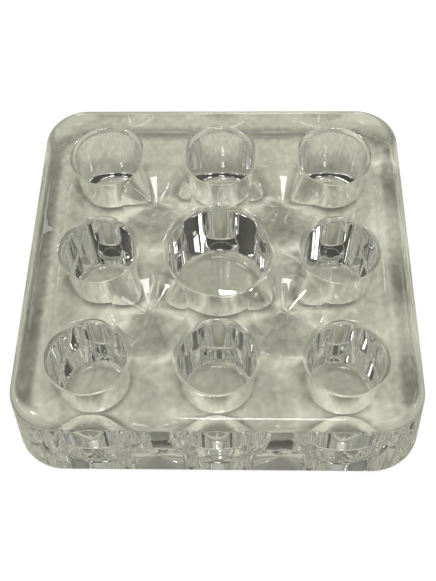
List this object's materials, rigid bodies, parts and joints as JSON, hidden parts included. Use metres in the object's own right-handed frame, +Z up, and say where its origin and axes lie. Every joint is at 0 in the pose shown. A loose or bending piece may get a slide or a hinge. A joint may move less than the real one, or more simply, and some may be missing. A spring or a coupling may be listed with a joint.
{
  "type": "glass game block",
  "caption": "Thick square block of clear glass with rounded edges, round wells in a square grid, a wider middle well and shallow conical dimples between them.",
  "frame": {"origin": "middle of the flat underside, on the surface that the block stands on", "axes": "+Z up through the top face with the wells, +X to the right and -Y towards the viewer; X and Y are parallel to the block's straight sides"},
  "size_m": [0.1016, 0.1016, 0.024],
  "materials": {
    "clear_glass": "clear pressed glass with a faint grey-green tint, smooth and fire-polished, with softly rounded edges"
  },
  "bodies": {
    "root": {"glass_block": "clear_glass"}
  },
  "joints": []
}
